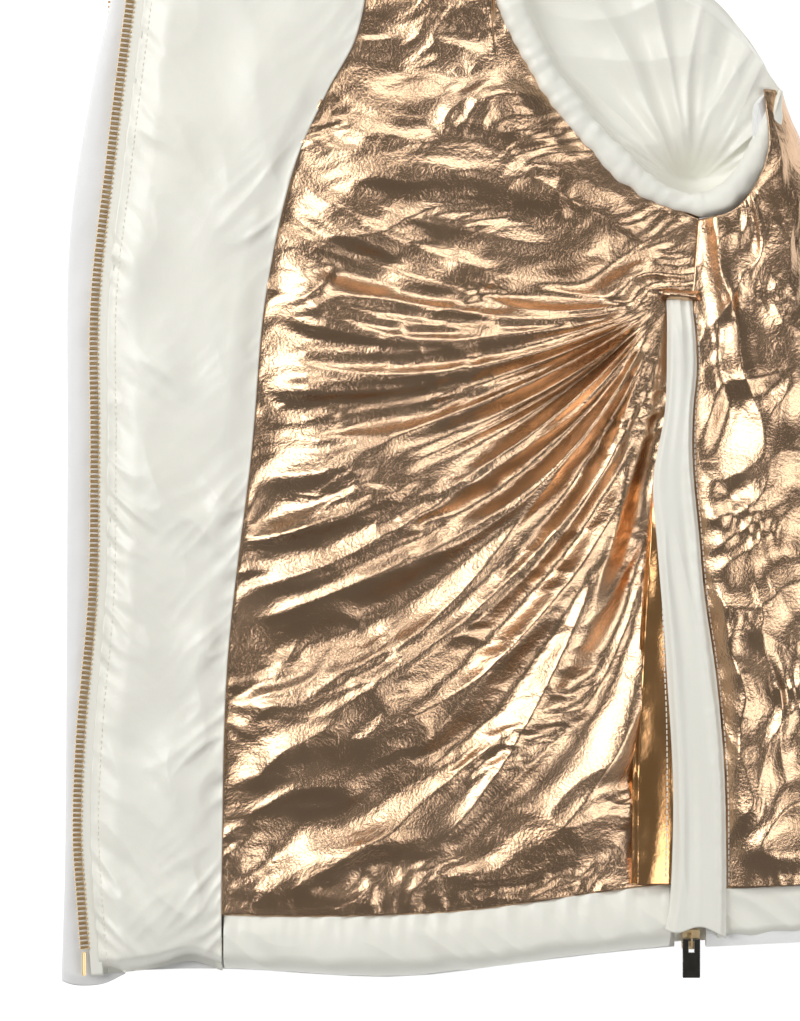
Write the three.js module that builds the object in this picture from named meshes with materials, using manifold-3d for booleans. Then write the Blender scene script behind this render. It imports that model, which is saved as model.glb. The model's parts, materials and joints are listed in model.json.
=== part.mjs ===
// A short padded coat, folded in half lengthwise for storage and lying flat.
// Its right half is turned lining side out round the left half, so the right front's inside lies on top.
// Millimetres, +Z up, +Y towards the collar, +X towards the side of the body.
import * as THREE from "three";
import { mergeVertices } from "three/addons/utils/BufferGeometryUtils.js";
import Module from "manifold-3d";

// Body
const FRONT_WIDTH = 304; // side seam to the front zip, at the hem
const BODY_LENGTH = 369; // hem to the bottom of the armhole
const HEM_BAND = 29; // height of the cream band inside the hem
const BACK_TURN = 86; // how far the back comes round past the side seam at the hem
const COLLAR_HEIGHT = 72;
const COLLAR_SEAM = 0.9; // between the collar and the neck edge

// Cloth
const LINING = 1;
const PADDING = 6;
const SHELL = 1;
const SEAM_GAP = 0.3; // between pieces that touch
const CURVE_GAP = 1.6; // between two curved edges sewn edge to edge
const LAYER_GAP = 0.6; // between coat walls that lie on each other
const SLEEVE_SPACE = 16.1; // room between the two fronts, taken up by the sleeves
const INNER_GAP = 1;

// Sleeves
const SLEEVE_WIDTH = 118;
const SLEEVE_LENGTH = 318;
const CUFF_LENGTH = 40;
const SLEEVE_CLOTH = 0.8;
const RIM_RADIUS = 5; // gathered roll round the armhole
const ARMHOLE_DEPTH = 17; // dip of the sleeve lining below the roll

// Zips
const TAPE = 0.6;
const TOOTH_ROW = 2.6; // width of one row of teeth
const TOOTH_HEIGHT = 2.4;
const FRONT_TAPE_WIDTH = 5;
const ZIP_SEAM = 0.7; // between a zip tape and the edge it is sewn to
const SLIT_WIDTH = 16; // open channel between the front and the back at the side slit
const SLIT_BELOW_ARM = 38; // top of the side slit to the bottom of the armhole
const POST = 1; // web between a slider's two plates
const SLIDER_WIDTH = 9;
const SLIDER_LENGTH = 10;
const PLATE = 1.2;
const RUN_GAP = 0.3; // running clearance of teeth in a slider
const BRIDGE_RISE = 2.6; // clear height under a slider's bridge
const BRIDGE_BAR = 1;
const BRIDGE_SPAN = 6.4;
const PULL_WIDTH = 9;
const PULL_LENGTH = 20;
const PULL_THICK = 1.2;
const SIDE_SLIDER_Y = 2; // centre of the slider at rest, above the hem
const FRONT_SLIDER_Y = 60;
const LEFT_ZIP_X = -300;
const ZIP_FOOT = 6; // hem to the lowest tooth of the front zip
const PIN_SHARE = 0.024; // part of the front edge that the insertion pin takes, up from the hem

// Strip along the left front's edge
const PLACKET = 3;

// Guard strip over the side slit
const GUARD = 0.9;
const GUARD_TOP_WIDTH = 13;
const GUARD_HEM_WIDTH = 29;

// Strip stitched along the slit's front edge
const SLIT_FACING = 0.6;
const SLIT_FACING_WIDTH = 15;
const SLIT_FACING_LENGTH = 200;

// The outlines are drafted on a base pattern of this size and graded to the coat's own width and length.
const PATTERN_WIDTH = 304;
const PATTERN_LENGTH = 369;

const WALL = LINING + PADDING + SHELL + 2 * SEAM_GAP;
const LEFT_BACK_Z = WALL + LAYER_GAP;
const LEFT_FRONT_Z = LEFT_BACK_Z + WALL + INNER_GAP;
const RIGHT_FRONT_Z = LEFT_FRONT_Z + WALL + SLEEVE_SPACE;
const TOP_Z = RIGHT_FRONT_Z + WALL;
const OUTER_TURN = TOP_Z / 2; // radius of the turn round the side of the body
const BACK_FOLD = (LEFT_BACK_Z + WALL) / 2; // radius of the fold at the centre of the back
const INNER_TURN_Z = LEFT_FRONT_Z - INNER_GAP / 2;
const SLIT_X = 1; // middle of the side slit
const CHAIN_Z = RIGHT_FRONT_Z + TOOTH_HEIGHT / 2 + 0.1;
const SLIT_LENGTH = BODY_LENGTH - SLIT_BELOW_ARM;
const SLIT_LEFT = SLIT_X - SLIT_WIDTH / 2;
const SLIT_RIGHT = SLIT_X + SLIT_WIDTH / 2;

const CLOTH = {
  cream: { color: 0xece9de, roughness: 0.45, metalness: 0 },
  copper: { color: 0xb2916f, roughness: 0.28, metalness: 0.9 },
  white: { color: 0xe4e4e2, roughness: 0.9, metalness: 0 },
  wadding: { color: 0xf2f2ef, roughness: 1, metalness: 0 },
  gold: { color: 0xd2a860, roughness: 0.3, metalness: 1 },
  dark: { color: 0x45443f, roughness: 0.35, metalness: 1 },
};

const wasm = await Module();
wasm.setup();
const coat = new THREE.Group();

function graded(x, y) {
  return new THREE.Vector2((x * FRONT_WIDTH) / PATTERN_WIDTH, (y * BODY_LENGTH) / PATTERN_LENGTH);
}

function add(name, geometry, cloth, parent = coat) {
  const mesh = new THREE.Mesh(geometry, new THREE.MeshStandardMaterial(CLOTH[cloth]));
  mesh.name = name;
  parent.add(mesh);
  return mesh;
}

// A closed solid between two matching grids of points: rows of columns, upper and lower.
function sheetSolid(upper, lower) {
  const rows = upper.length;
  const columns = upper[0].length;
  const points = [...upper.flat(), ...lower.flat()];
  const top = (r, c) => r * columns + c;
  const base = (r, c) => rows * columns + r * columns + c;
  const faces = [];
  const quad = (a, b, c, d) => faces.push(a, b, c, a, c, d);
  for (let r = 0; r + 1 < rows; r++) {
    for (let c = 0; c + 1 < columns; c++) {
      quad(top(r, c), top(r, c + 1), top(r + 1, c + 1), top(r + 1, c));
      quad(base(r, c), base(r + 1, c), base(r + 1, c + 1), base(r, c + 1));
    }
    quad(top(r, 0), top(r + 1, 0), base(r + 1, 0), base(r, 0));
    quad(top(r + 1, columns - 1), top(r, columns - 1), base(r, columns - 1), base(r + 1, columns - 1));
  }
  for (let c = 0; c + 1 < columns; c++) {
    quad(top(0, c + 1), top(0, c), base(0, c), base(0, c + 1));
    quad(top(rows - 1, c), top(rows - 1, c + 1), base(rows - 1, c + 1), base(rows - 1, c));
  }
  const geometry = new THREE.BufferGeometry().setFromPoints(points);
  geometry.setIndex(faces);
  return geometry;
}

// A cloth panel between four edge curves, laid flat at a height that may change over the panel.
function panel(edges, low, thick, across, along, dip = () => 0) {
  const [bottom, right, top, left] = edges;
  const corner = [bottom(0), bottom(1), top(0), top(1)];
  const place = (u, v) => {
    const p = new THREE.Vector2();
    p.addScaledVector(bottom(u), 1 - v).addScaledVector(top(u), v);
    p.addScaledVector(left(v), 1 - u).addScaledVector(right(v), u);
    p.addScaledVector(corner[0], -(1 - u) * (1 - v)).addScaledVector(corner[1], -u * (1 - v));
    return p.addScaledVector(corner[2], -(1 - u) * v).addScaledVector(corner[3], -u * v);
  };
  const grid = (height) =>
    Array.from({ length: along + 1 }, (_, r) =>
      Array.from({ length: across + 1 }, (_, c) => {
        const p = place(c / across, r / along);
        return new THREE.Vector3(p.x, p.y, low + height - dip(c / across, r / along));
      }),
    );
  return sheetSolid(grid(thick), grid(0));
}

// An edge curve through points of the base pattern.
function edge(...points) {
  const curve = new THREE.SplineCurve(points.map(([x, y]) => graded(x, y)));
  return (t) => curve.getPointAt(t);
}

function straight(from, to) {
  return (t) => new THREE.Vector2().lerpVectors(from, to, t);
}

function moved(curve, dx, dy) {
  return (t) => curve(t).add(new THREE.Vector2(dx, dy));
}

// The share of an edge from one place to another, both from 0 to 1.
function part(curve, from, to) {
  return (t) => curve(from + (to - from) * t);
}

const HEM_POINTS = [[-304, -16], [-275, -14], [-232, -14], [-158, -18], [-117, -15], [-36, -5], [86, 5]];
const hemCurve = new THREE.SplineCurve(HEM_POINTS.map(([x, y]) => graded(x, y)));
const hemSamples = hemCurve.getSpacedPoints(120);

// Height of the hem edge above the pattern's base line at a place across the coat.
function hemAt(x) {
  const after = hemSamples.findIndex((p) => p.x >= x);
  if (after === -1) return hemSamples[hemSamples.length - 1].y;
  if (after === 0) return hemSamples[0].y;
  const [a, b] = [hemSamples[after - 1], hemSamples[after]];
  return a.y + ((b.y - a.y) * (x - a.x)) / (b.x - a.x);
}

const onHem = (x, rise = 0) => new THREE.Vector2(x, hemAt(x) + rise);
const hemEdge = (from, to, rise = 0) => (t) => onHem(from + (to - from) * t, rise);

// Edges of the front, from the hem up to the neck and from the neck out to the bottom of the armhole.
const frontEdge = edge([-301, -16], [-304, 24], [-306, 60], [-304, 110], [-298, 180], [-297, 256],
  [-297, 326], [-289, 400], [-279, 480], [-270, 545]);
const facingSeam = edge([-239, -14], [-239, 44], [-236, 146], [-224, 250], [-217, 328], [-203, 394],
  [-186, 434], [-170, 465], [-164, 505], [-165, 572]);
const neckLine = edge([-270, 545], [-240, 550], [-205, 560], [-165, 572]);
const shoulder = edge([-165, 572], [-135, 561], [-105, 548]);
const armholeFront = edge([-105, 548], [-103, 515], [-100, 482], [-83, 449], [-54, 408], [-24, 383], [3, 371]);
const underarm = armholeFront(1);
const shoulderTip = shoulder(1);

function joined(first, second, share) {
  return (t) => (t <= share ? first(t / share) : second((t - share) / (1 - share)));
}

const SHOULDER_SHARE = 0.25;
const upperEdge = joined(shoulder, armholeFront, SHOULDER_SHARE);

// Side of the front: the slit edge up to the top of the slit, then the side seam.
function frontSide(fromY) {
  const slitTop = SLIT_LENGTH + SEAM_GAP;
  return (t) => {
    const y = fromY + (underarm.y - fromY) * t;
    const closing = Math.min(Math.max((y - slitTop) / (underarm.y - slitTop), 0), 1);
    return new THREE.Vector2(SLIT_LEFT + (underarm.x - SLIT_LEFT) * closing, y);
  };
}

const liningFoot = HEM_BAND + SEAM_GAP;
const facingFoot = facingSeam(0);

// The stretch of the facing seam above a given height, found by halving.
function seamShareAt(y) {
  let [low, high] = [0, 1];
  for (let step = 0; step < 30; step++) {
    const middle = (low + high) / 2;
    if (facingSeam(middle).y < y) low = middle;
    else high = middle;
  }
  return low;
}

const seamFoot = seamShareAt(hemAt(facingFoot.x) + liningFoot);
const liningLeft = moved(part(facingSeam, seamFoot, 1), CURVE_GAP, 0);
const slitFoot = (rise) => onHem(SLIT_LEFT, rise);

// The four edges of the front's lining, and of the whole front.
function liningEdges() {
  const start = liningLeft(0);
  const side = frontSide(slitFoot(liningFoot).y);
  const foot = hemEdge(start.x, SLIT_LEFT, liningFoot);
  const lift = start.y - foot(0).y;
  const level = (t) => foot(t).add(new THREE.Vector2(0, lift * (1 - t)));
  const top = (t) => upperEdge(t).add(new THREE.Vector2(CURVE_GAP * (1 - t), 0));
  return [level, side, top, liningLeft];
}

function wholeFrontEdges() {
  const foot = hemEdge(frontEdge(0).x, SLIT_LEFT);
  const start = frontEdge(0);
  const drop = start.y - foot(0).y;
  const level = (t) => foot(t).add(new THREE.Vector2(0, drop * (1 - t)));
  const side = frontSide(level(1).y);
  const top = joined(neckLine, upperEdge, 0.3);
  return [level, side, top, frontEdge];
}

const FRONT_COLUMNS = 14;
const FRONT_ROWS = 9;
const FACING_ROWS = 16;

function rightFront() {
  const whole = wholeFrontEdges();
  const z = RIGHT_FRONT_Z;
  const liningZ = z + SHELL + PADDING + 2 * SEAM_GAP;
  add("right_front_shell", panel(whole, z, SHELL, FRONT_COLUMNS, FRONT_ROWS), "white");
  add("right_front_padding", panel(whole, z + SHELL + SEAM_GAP, PADDING, FRONT_COLUMNS, FRONT_ROWS), "wadding");
  add("right_front_lining", panel(liningEdges(), liningZ, LINING, FRONT_COLUMNS, FACING_ROWS), "copper");
  const facing = [straight(frontEdge(0), facingSeam(0)), facingSeam, neckLine, frontEdge];
  add("right_front_facing", panel(facing, liningZ, LINING, 3, FACING_ROWS), "cream");
  const bandLeft = facingFoot.x + SEAM_GAP;
  const band = [
    hemEdge(bandLeft, SLIT_LEFT),
    straight(onHem(SLIT_LEFT), onHem(SLIT_LEFT, HEM_BAND)),
    hemEdge(bandLeft, SLIT_LEFT, HEM_BAND),
    straight(onHem(bandLeft), onHem(bandLeft, HEM_BAND)),
  ];
  add("right_front_hem_band", panel(band, liningZ, LINING, 14, 1), "cream");
}

function leftFront() {
  const whole = wholeFrontEdges();
  const z = LEFT_FRONT_Z;
  add("left_front_lining", panel(whole, z, LINING, FRONT_COLUMNS, FRONT_ROWS), "copper");
  add("left_front_padding", panel(whole, z + LINING + SEAM_GAP, PADDING, FRONT_COLUMNS, FRONT_ROWS), "wadding");
  const shellZ = z + LINING + PADDING + 2 * SEAM_GAP;
  add("left_front_shell", panel(whole, shellZ, SHELL, FRONT_COLUMNS, FRONT_ROWS), "white");
}


// Columns of a cloth wall that runs over the top, round the outer turn at the side, under, round the fold
// at the centre of the back, and up the inner turn to the left half's side. A column gives x and z at a
// height y, for a layer that lies the given depth behind the lining side.
function wrapColumns(shape, depth) {
  const columns = [];
  const column = (over, place) => columns.push({ over, place });
  const side = (t, y) => shape.start(y) + (shape.turn(y) - shape.start(y)) * t;
  const flat = (t, y) => shape.turn(y) + (shape.fold(y) - shape.turn(y)) * t;
  const outer = OUTER_TURN - depth;
  const fold = BACK_FOLD - depth;
  const inner = INNER_GAP / 2 + depth;
  for (let i = 0; i < TOP_STEPS; i++) column(true, (y) => [side(i / TOP_STEPS, y), TOP_Z - depth]);
  for (let i = 0; i <= TURN_STEPS; i++) {
    const a = (Math.PI * i) / TURN_STEPS;
    column(a < 1.6, (y) => [shape.turn(y) + outer * Math.sin(a), OUTER_TURN + outer * Math.cos(a)]);
  }
  for (let i = 1; i < UNDER_STEPS; i++) column(false, (y) => [flat(i / UNDER_STEPS, y), depth]);
  for (let i = 0; i <= FOLD_STEPS; i++) {
    const a = (Math.PI * i) / FOLD_STEPS;
    column(false, (y) => [shape.fold(y) - fold * Math.sin(a), BACK_FOLD - fold * Math.cos(a)]);
  }
  const third = 2 * BACK_FOLD - depth;
  for (let i = 1; i < UNDER_STEPS; i++) column(false, (y) => [flat(1 - i / UNDER_STEPS, y), third]);
  for (let i = 0; i <= FOLD_STEPS; i++) {
    const a = (Math.PI * i) / FOLD_STEPS;
    column(true, (y) => [shape.turn(y) + inner * Math.sin(a), INNER_TURN_Z - inner * Math.cos(a)]);
  }
  for (let i = 1; i <= TOP_STEPS; i++) {
    column(true, (y) => [side(1 - i / TOP_STEPS, y), INNER_TURN_Z + inner]);
  }
  return columns;
}

// Share of a wall's height at each row: the shape's knee, where it has one, is a row of its own.
function rowHeight(shape, low, high, row, rows) {
  if (!shape.knee || rows < 3) return low + ((high - low) * row) / rows;
  const below = rows - 2;
  if (row <= below) return low + ((shape.knee - low) * row) / below;
  return shape.knee + ((high - shape.knee) * (row - below)) / 2;
}

// One layer of such a wall, from its low edge to its high edge.
function wrapped(shape, depth, thick, low, high, rows) {
  const grid = (out) => {
    const columns = wrapColumns(shape, out);
    const guide = wrapColumns(shape, 0);
    return Array.from({ length: rows + 1 }, (_, r) =>
      columns.map(({ over, place }, c) => {
        const x = guide[c].place(shape.gauge)[0];
        const y = rowHeight(shape, low(x, over), high(x, over), r, rows);
        return new THREE.Vector3(place(y)[0], y, place(y)[1]);
      }),
    );
  };
  return sheetSolid(grid(depth), grid(depth + thick));
}

const TOP_STEPS = 4;
const TURN_STEPS = 8;
const UNDER_STEPS = 8;
const FOLD_STEPS = 4;

// Turn at the side: the wall's silhouette runs from beside the armhole down to the hem.
const armholeEnd = graded(50, 437);
const turnTop = armholeEnd.x - OUTER_TURN;
const turnFoot = BACK_TURN - OUTER_TURN;
const foldTop = graded(-250, 0).x;
const foldFoot = graded(-296, 0).x;
const neckBack = graded(-250, 549);

// Height of the neck edge at a place across the coat.
function neckAt(x) {
  const t = (x - neckLine(0).x) / (shoulder(0).x - neckLine(0).x);
  return neckLine(Math.min(Math.max(t, 0), 1)).y;
}

const backShape = {
  gauge: underarm.y,
  knee: SLIT_LENGTH,
  start: (y) => {
    const closing = Math.min(Math.max((y - SLIT_LENGTH) / (underarm.y - SLIT_LENGTH), 0), 1);
    return SLIT_RIGHT + (underarm.x + CURVE_GAP - SLIT_RIGHT) * closing;
  },
  turn: (y) => turnFoot + (turnTop - turnFoot) * Math.pow(Math.max(y, 0) / armholeEnd.y, 3),
  fold: (y) => foldFoot + ((foldTop - foldFoot) * Math.max(y, 0)) / neckBack.y,
};

// Upper edge of the back: up round the armhole, then out along the shoulder to the neck.
function backTop(x, over) {
  const share = Math.max((x - underarm.x) / (armholeEnd.x - underarm.x), 0);
  if (over) return underarm.y + (armholeEnd.y - underarm.y) * Math.pow(Math.min(share, 1), 2.6);
  if (x < shoulder(0).x) return neckAt(x);
  const stops = [armholeEnd, shoulderTip, shoulder(0)];
  const next = stops.findIndex((p) => p.x <= x);
  if (next === 0) return armholeEnd.y;
  const [a, b] = [stops[next - 1], stops[next]];
  return a.y + ((b.y - a.y) * (x - a.x)) / (b.x - a.x);
}

const hemLine = (x) => hemAt(x);
const backBandTop = (x) => hemAt(x) + HEM_BAND;
const backLiningFoot = (x) => hemAt(x) + liningFoot;

function backPieces() {
  add("back_lining", wrapped(backShape, 0, LINING, backLiningFoot, backTop, 6), "copper");
  add("back_hem_band", wrapped(backShape, 0, LINING, hemLine, backBandTop, 1), "cream");
  const behindLining = LINING + SEAM_GAP;
  add("back_padding", wrapped(backShape, behindLining, PADDING, hemLine, backTop, 6), "wadding");
  add("back_shell", wrapped(backShape, behindLining + PADDING + SEAM_GAP, SHELL, hemLine, backTop, 6), "white");
}

// Stand collar: it follows the same folds as the body, from one front edge to the other.
const collarStart = neckLine(0);
const collarTurn = shoulder(0);
const collarShape = {
  gauge: collarTurn.y,
  start: (y) => collarStart.x + (y - collarStart.y) * 0.1,
  turn: () => collarTurn.x,
  fold: () => neckBack.x,
};

function collarPieces() {
  const rise = (x) => neckAt(x) + COLLAR_SEAM;
  const rim = (x) => rise(x) + COLLAR_HEIGHT;
  add("collar_inner", wrapped(collarShape, 0, LINING, rise, rim, 2), "cream");
  add("collar_padding", wrapped(collarShape, LINING + SEAM_GAP, PADDING, rise, rim, 2), "wadding");
  const shellDepth = LINING + PADDING + 2 * SEAM_GAP;
  add("collar_outer", wrapped(collarShape, shellDepth, SHELL, rise, rim, 2), "white");
}

// A ring-shaped length of cloth, pressed flat: a rounded slot outline with a smaller one cut out of it.
function flatTube(width, height, wall, length) {
  const outline = (w, h, target) => {
    const r = h / 2;
    target.absarc(w / 2 - r, 0, r, -Math.PI / 2, Math.PI / 2);
    target.absarc(-w / 2 + r, 0, r, Math.PI / 2, (3 * Math.PI) / 2);
    target.closePath();
    return target;
  };
  const ring = outline(width, height, new THREE.Shape());
  ring.holes.push(outline(width - 2 * wall, height - 2 * wall, new THREE.Path()));
  return new THREE.ExtrudeGeometry(ring, { depth: length, bevelEnabled: false, curveSegments: 5 });
}

const SLEEVE_HEIGHT = SLEEVE_SPACE / 2 - 2 * SEAM_GAP;
const SLEEVE_LEAN = 0.28; // radians off the coat's length
const SLEEVE_WADDING = 1.4;

function sleeve(side, low) {
  const group = new THREE.Group();
  const mouth = graded(-100, 352);
  group.position.set(mouth.x, mouth.y, low + SLEEVE_HEIGHT / 2);
  group.rotation.z = -SLEEVE_LEAN;
  coat.add(group);
  const layer = (name, cloth, inset, wall, from, length) => {
    const tube = flatTube(SLEEVE_WIDTH - 2 * inset, SLEEVE_HEIGHT - 2 * inset, wall, length);
    const mesh = add(side + name, tube, cloth, group);
    mesh.rotation.x = Math.PI / 2;
    mesh.position.y = -from;
  };
  const body = SLEEVE_LENGTH - CUFF_LENGTH - SEAM_GAP;
  const second = SLEEVE_CLOTH + SEAM_GAP;
  const third = second + SLEEVE_WADDING + SEAM_GAP;
  layer("_sleeve_shell", "white", 0, SLEEVE_CLOTH, 0, body);
  layer("_sleeve_padding", "wadding", second, SLEEVE_WADDING, 0, body);
  layer("_sleeve_lining", "cream", third, SLEEVE_CLOTH, 0, body);
  layer("_cuff", "cream", 0, SLEEVE_CLOTH * 2, body + SEAM_GAP, CUFF_LENGTH);
}

// The head of the right sleeve's lining: a shallow bowl inside the armhole's gathered roll.
const rimPath = new THREE.CatmullRomCurve3([[-96, 541], [-94, 515], [-91, 485], [-75, 453], [-47, 414], [-20, 391],
  [4, 381], [19, 387], [23, 402], [26, 425], [28, 447]].map(([x, y]) => {
  const p = graded(x, y);
  return new THREE.Vector3(p.x, p.y, TOP_Z - RIM_RADIUS + 1);
}));

const seat = graded(-1.3, -1.5); // brings the roll up to the front's edge
const ARMHOLE_SEAT = new THREE.Vector3(seat.x, seat.y, 0);

function armhole() {
  const section = new THREE.Shape();
  section.absarc(0, 0, RIM_RADIUS, 0, 2 * Math.PI);
  const roll = new THREE.ExtrudeGeometry(section, { steps: 26, extrudePath: rimPath, curveSegments: 8 });
  add("right_armhole_rim", roll, "cream").position.copy(ARMHOLE_SEAT);
  const inset = RIM_RADIUS + CURVE_GAP;
  const bottom = edge([-85, 485], [-69, 457], [-42, 421], [-17, 400], [2, 390]);
  const right = edge([2, 390], [9, 396], [14, 408], [17, 430], [18, 450]);
  const top = edge([-40, 520], [-15, 505], [6, 476], [18, 450]);
  const left = edge([-85, 485], [-87, 505], [-85, 535], [-60, 530], [-40, 520]);
  const dip = (u, v) => ARMHOLE_DEPTH * Math.sqrt(Math.sin(Math.PI * u) * Math.sin(Math.PI * v));
  const low = TOP_Z - inset;
  add("right_sleeve_head_lining", panel([bottom, right, top, left], low, LINING, 8, 8, dip), "cream").position.copy(ARMHOLE_SEAT);
}

rightFront();
leftFront();
backPieces();
collarPieces();
sleeve("left", LEFT_FRONT_Z + WALL + SEAM_GAP);
sleeve("right", LEFT_FRONT_Z + WALL + 2 * SEAM_GAP + SLEEVE_HEIGHT);
armhole();

// Boxes, bars and outlines for the zips.
function block(width, length, height) {
  return new THREE.BoxGeometry(width, length, height);
}

function solidOf(geometry) {
  const plain = geometry.clone();
  plain.deleteAttribute("normal");
  plain.deleteAttribute("uv");
  const merged = mergeVertices(plain, 1e-4);
  const vertProperties = merged.attributes.position.array;
  return new wasm.Manifold(new wasm.Mesh({ numProp: 3, vertProperties, triVerts: new Uint32Array(merged.index.array) }));
}

function geometryOf(solid) {
  const mesh = solid.getMesh();
  const geometry = new THREE.BufferGeometry();
  geometry.setAttribute("position", new THREE.BufferAttribute(mesh.vertProperties, 3));
  geometry.setIndex(new THREE.BufferAttribute(mesh.triVerts, 1));
  return geometry;
}

const CHANNEL = TOOTH_HEIGHT + 2 * RUN_GAP;
const PLATE_TOP = CHANNEL / 2 + PLATE;

// Slider: two plates on a web, with a bridge along the top that holds the pull. Origin at its middle.
function sliderGeometry() {
  const lifted = (width, length, height, y, z) => solidOf(block(width, length, height).translate(0, y, z));
  const foot = (BRIDGE_SPAN - BRIDGE_BAR) / 2;
  const barZ = PLATE_TOP + BRIDGE_RISE + BRIDGE_BAR / 2;
  const legHeight = BRIDGE_RISE + BRIDGE_BAR / 2 + PLATE / 2;
  const legZ = PLATE_TOP - PLATE / 2 + legHeight / 2;
  const pieces = [
    lifted(SLIDER_WIDTH, SLIDER_LENGTH, PLATE, 0, -PLATE_TOP + PLATE / 2),
    lifted(POST, SLIDER_LENGTH, CHANNEL + PLATE, 0, 0),
    lifted(BRIDGE_BAR, BRIDGE_SPAN, BRIDGE_BAR, 0, barZ),
    lifted(BRIDGE_BAR, BRIDGE_BAR, legHeight, foot, legZ),
    lifted(BRIDGE_BAR, BRIDGE_BAR, legHeight, -foot, legZ),
  ];
  const top = lifted(SLIDER_WIDTH, SLIDER_LENGTH, PLATE, 0, PLATE_TOP - PLATE / 2);
  return geometryOf(pieces.reduce((whole, piece) => whole.add(piece), top));
}

const PULL_HOLE = BRIDGE_RISE + BRIDGE_BAR + 2.2;
const PULL_EYE = 1.2; // bar of the pull that lies under the bridge
const PULL_Z = PLATE_TOP + BRIDGE_RISE / 2;

// Pull: a flat plate with a slot, whose end bar lies under the bridge. Origin at that bar's middle.
function pullGeometry() {
  const plate = new THREE.Shape();
  const half = PULL_WIDTH / 2;
  plate.moveTo(-half, PULL_EYE / 2);
  plate.lineTo(-half, -PULL_LENGTH + PULL_EYE / 2);
  plate.lineTo(half, -PULL_LENGTH + PULL_EYE / 2);
  plate.lineTo(half, PULL_EYE / 2);
  plate.closePath();
  const slot = new THREE.Path();
  const slotHalf = BRIDGE_BAR / 2 + 3 * RUN_GAP;
  slot.moveTo(-slotHalf, -PULL_EYE / 2);
  slot.lineTo(slotHalf, -PULL_EYE / 2);
  slot.lineTo(slotHalf, -PULL_EYE / 2 - PULL_HOLE);
  slot.lineTo(-slotHalf, -PULL_EYE / 2 - PULL_HOLE);
  slot.closePath();
  plate.holes.push(slot);
  const solid = new THREE.ExtrudeGeometry(plate, { depth: PULL_THICK, bevelEnabled: false });
  return solid.translate(0, 0, -PULL_THICK / 2);
}

function strip(name, cloth, width, low, high, x, z, thick) {
  add(name, block(width, high - low, thick), cloth).position.set(x, (low + high) / 2, z);
}

const ROW_X = POST / 2 + RUN_GAP + TOOTH_ROW / 2; // middle of a tooth row, from the middle of the chain

// Side zip: a closed chain in the slit, with its slider at the hem.
function sideZip() {
  const low = onHem(SLIT_X).y + 3;
  const high = SLIT_LENGTH - 4;
  const outer = ROW_X + TOOTH_ROW / 2 + SEAM_GAP;
  const tape = SLIT_WIDTH / 2 - outer - SEAM_GAP;
  for (const [name, sign] of [["front", -1], ["back", 1]]) {
    const rowX = SLIT_X + sign * ROW_X;
    strip("side_zip_" + name + "_teeth", "gold", TOOTH_ROW, low, high, rowX, CHAIN_Z, TOOTH_HEIGHT);
    const tapeX = SLIT_X + sign * (outer + tape / 2);
    strip("side_zip_" + name + "_tape", "cream", tape, low, high, tapeX, CHAIN_Z, TAPE);
  }
  strip("side_zip_top_stop", "gold", SLIT_WIDTH / 2, high + SEAM_GAP, high + 3, SLIT_X, CHAIN_Z, TOOTH_HEIGHT);
  add("side_slider", sliderGeometry(), "gold").position.set(SLIT_X, SIDE_SLIDER_Y, CHAIN_Z);
  add("side_pull", pullGeometry(), "dark").position.set(SLIT_X, SIDE_SLIDER_Y, CHAIN_Z + PULL_Z);
}

// Front zip: the right front carries a toothed tape that ends in the insertion pin.
function rightZip() {
  const reach = FRONT_TAPE_WIDTH + TOOTH_ROW + 2 * SEAM_GAP;
  const z = TOP_Z - LINING - TAPE;
  const band = (near, far, low, high, thick, from = 0) => {
    const run = part(frontEdge, from, 1);
    const nearSide = moved(run, -near, 0);
    const farSide = moved(run, -far, 0);
    const foot = straight(farSide(0), nearSide(0));
    const top = straight(farSide(1), nearSide(1));
    return panel([foot, nearSide, top, farSide], low, thick, 1, high);
  };
  const start = ZIP_SEAM;
  add("right_zip_tape", band(start, start + FRONT_TAPE_WIDTH, z, 24, TAPE), "cream");
  const teeth = start + FRONT_TAPE_WIDTH + SEAM_GAP;
  add("right_zip_teeth", band(teeth, reach + start, z - TOOTH_HEIGHT / 2, 24, TOOTH_HEIGHT, PIN_SHARE), "gold");
  const pin = new THREE.CylinderGeometry(TOOTH_HEIGHT / 2, TOOTH_HEIGHT / 2, 2 * ZIP_FOOT, 10);
  const middle = teeth + TOOTH_ROW / 2;
  add("zip_insertion_pin", pin, "gold").position.set(frontEdge(PIN_SHARE).x - middle, frontEdge(0).y + ZIP_FOOT, z);
}

// The left front's row lies straight under it, with the slider, the pull and the retainer box.
function leftZip() {
  const low = frontEdge(0).y + ZIP_FOOT;
  const high = frontEdge(1).y;
  const z = LEFT_FRONT_Z + WALL + PLATE_TOP + SEAM_GAP;
  const rowX = graded(LEFT_ZIP_X, 0).x + ROW_X;
  const tapeX = rowX + TOOTH_ROW / 2 + SEAM_GAP + FRONT_TAPE_WIDTH / 2;
  strip("left_zip_teeth", "gold", TOOTH_ROW, low, high, rowX, z, TOOTH_HEIGHT);
  strip("left_zip_tape", "cream", FRONT_TAPE_WIDTH, low, high, tapeX, z, TAPE);
  strip("zip_retainer_box", "gold", SLIDER_WIDTH, low - ZIP_FOOT, low - SEAM_GAP, rowX - ROW_X, z, CHANNEL + PLATE);
  const slider = add("front_slider", sliderGeometry(), "gold");
  slider.position.set(rowX - ROW_X, FRONT_SLIDER_Y, z);
  add("front_pull", pullGeometry(), "dark").position.set(rowX - ROW_X, FRONT_SLIDER_Y, z + PULL_Z);
}

// Plain strip along the left front's edge, which shows past the right front's zip.
function placket() {
  const reach = 16;
  const outer = edge([-322, -20], [-320, 60], [-319, 240], [-318, 360], [-306, 441], [-297, 482], [-287, 545]);
  const inner = moved(frontEdge, reach, 0);
  const foot = straight(outer(0), inner(0));
  const top = straight(outer(1), inner(1));
  const low = RIGHT_FRONT_Z - SEAM_GAP - PLACKET;
  add("left_front_placket", panel([foot, inner, top, outer], low, PLACKET, 2, 14), "white");
}

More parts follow.
